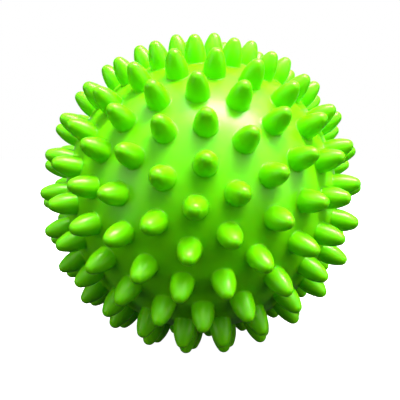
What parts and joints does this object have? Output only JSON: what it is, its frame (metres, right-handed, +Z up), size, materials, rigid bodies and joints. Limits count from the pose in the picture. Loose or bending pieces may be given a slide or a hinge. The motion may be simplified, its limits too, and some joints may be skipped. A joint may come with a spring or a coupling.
{
  "type": "spiky massage ball",
  "caption": "Hollow soft plastic massage ball covered in blunt bullet-shaped spikes, made of welded halves with an air valve at one pole.",
  "frame": {"origin": "centre of the ball, where the parting plane crosses the line between its poles", "axes": "+Z up; +Y from the front pole's spike to the back pole, out of the air valve; the halves meet on the plane Y = 0"},
  "size_m": [0.0892, 0.0886, 0.0891],
  "materials": {
    "soft_skin": "glossy soft lime-green vinyl, slightly translucent",
    "valve_seat": "satin lime-green vinyl",
    "valve_plug": "satin soft rubber, pale lime green"
  },
  "bodies": {
    "ball": {"front_half": "soft_skin", "back_half": "soft_skin", "valve_seat": "valve_seat"},
    "plug": {"valve_plug": "valve_plug"}
  },
  "joints": [
    {"name": "plug_pull", "type": "slide", "parent": "ball", "child": "plug", "axis": [0, 1, 0], "range_m": [0, 0.03]}
  ]
}
